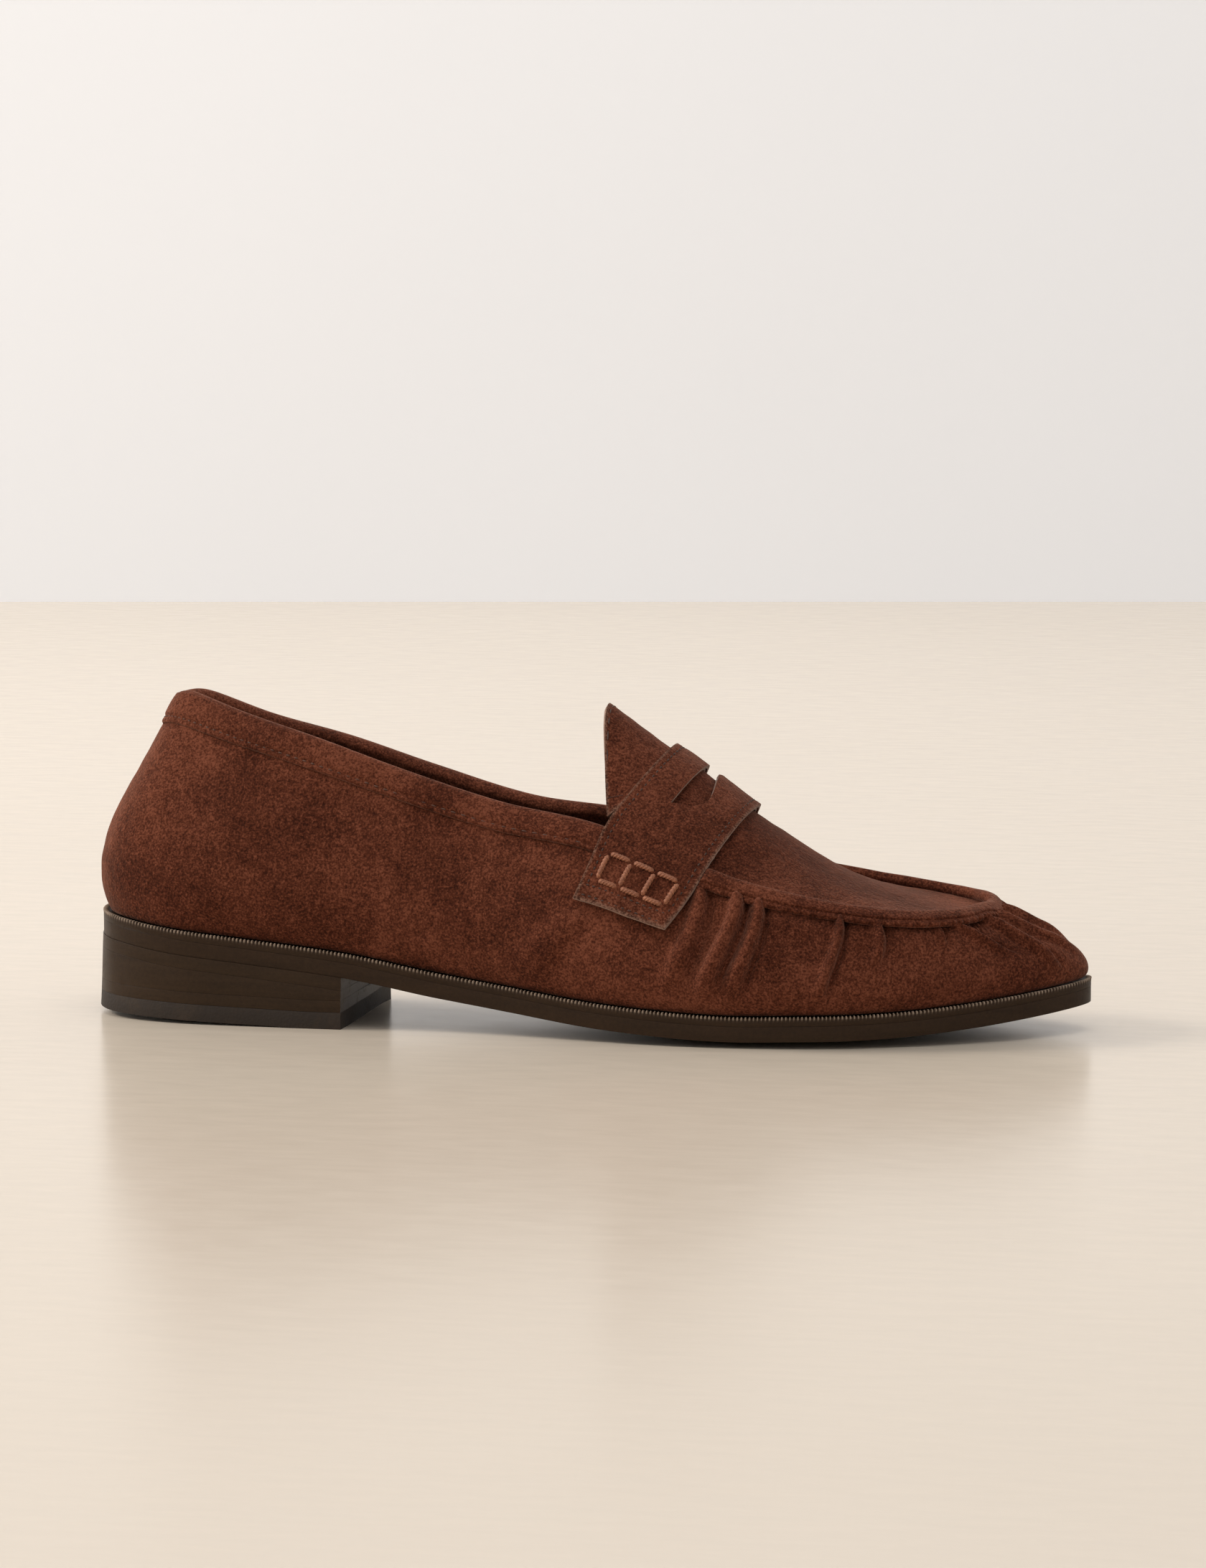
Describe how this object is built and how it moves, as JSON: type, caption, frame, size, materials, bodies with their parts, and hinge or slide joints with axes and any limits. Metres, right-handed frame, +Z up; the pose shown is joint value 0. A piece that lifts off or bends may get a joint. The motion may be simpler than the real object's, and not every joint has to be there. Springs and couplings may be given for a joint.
{
  "type": "penny loafer",
  "caption": "Soft slip-on penny loafer for the right foot: gathered suede side, raised-seam apron, slotted saddle strap, free tongue, thin welted sole and low stacked heel.",
  "frame": {"origin": "middle of the shoe's footprint box, on the floor it stands on", "axes": "+X from the heel to the toe, +Y to the inner (medial) side, +Z up; a right shoe"},
  "size_m": [0.2692, 0.0856, 0.0877],
  "materials": {
    "suede": "napped suede, dark brown",
    "lining_leather": "smooth lining leather, dark brown",
    "sole_leather": "dyed and waxed sole leather",
    "heel_leather": "stacked leather, dyed and waxed",
    "heel_rubber": "moulded rubber, matt",
    "leatherboard": "fibre board, raw",
    "stiffener": "resin-stiffened cloth",
    "cork": "ground cork",
    "foam": "open-cell foam",
    "steel": "zinc-plated steel",
    "nail_brass": "drawn brass",
    "waxed_thread": "twisted waxed thread"
  },
  "bodies": {
    "shoe": {"apron": "suede", "apron_lining": "lining_leather", "apron_piping": "suede", "bottom_filler": "cork", "heel_counter": "stiffener", "heel_lift": "heel_leather", "heel_nail_1": "nail_brass", "heel_nail_2": "nail_brass", "heel_nail_3": "nail_brass", "heel_nail_4": "nail_brass", "heel_nail_5": "nail_brass", "heel_pad": "foam", "heel_screw": "steel", "heel_wedge": "heel_leather", "insole": "leatherboard", "ladder_stitch_lateral": "waxed_thread", "ladder_stitch_medial": "waxed_thread", "outsole": "sole_leather", "quarter_lining": "lining_leather", "saddle_strap": "suede", "seat_lift": "heel_leather", "shank": "steel", "shank_rivet_1": "steel", "shank_rivet_2": "steel", "sock_lining": "lining_leather", "strap_backing": "lining_leather", "toe_puff": "stiffener", "top_piece": "heel_rubber", "topline_binding": "suede", "tuck_board": "leatherboard", "upper_wall": "suede", "vamp_lining": "lining_leather", "welt": "sole_leather"},
    "tongue": {"tongue": "suede", "tongue_lining": "lining_leather"}
  },
  "joints": [
    {"name": "tongue_flex", "type": "hinge", "parent": "shoe", "child": "tongue", "pos_m": [0.02273, 0.001, 0.07349], "axis": [0, 1, 0], "range_deg": [0, 25], "stiffness_Nm_per_rad": 0.02}
  ]
}
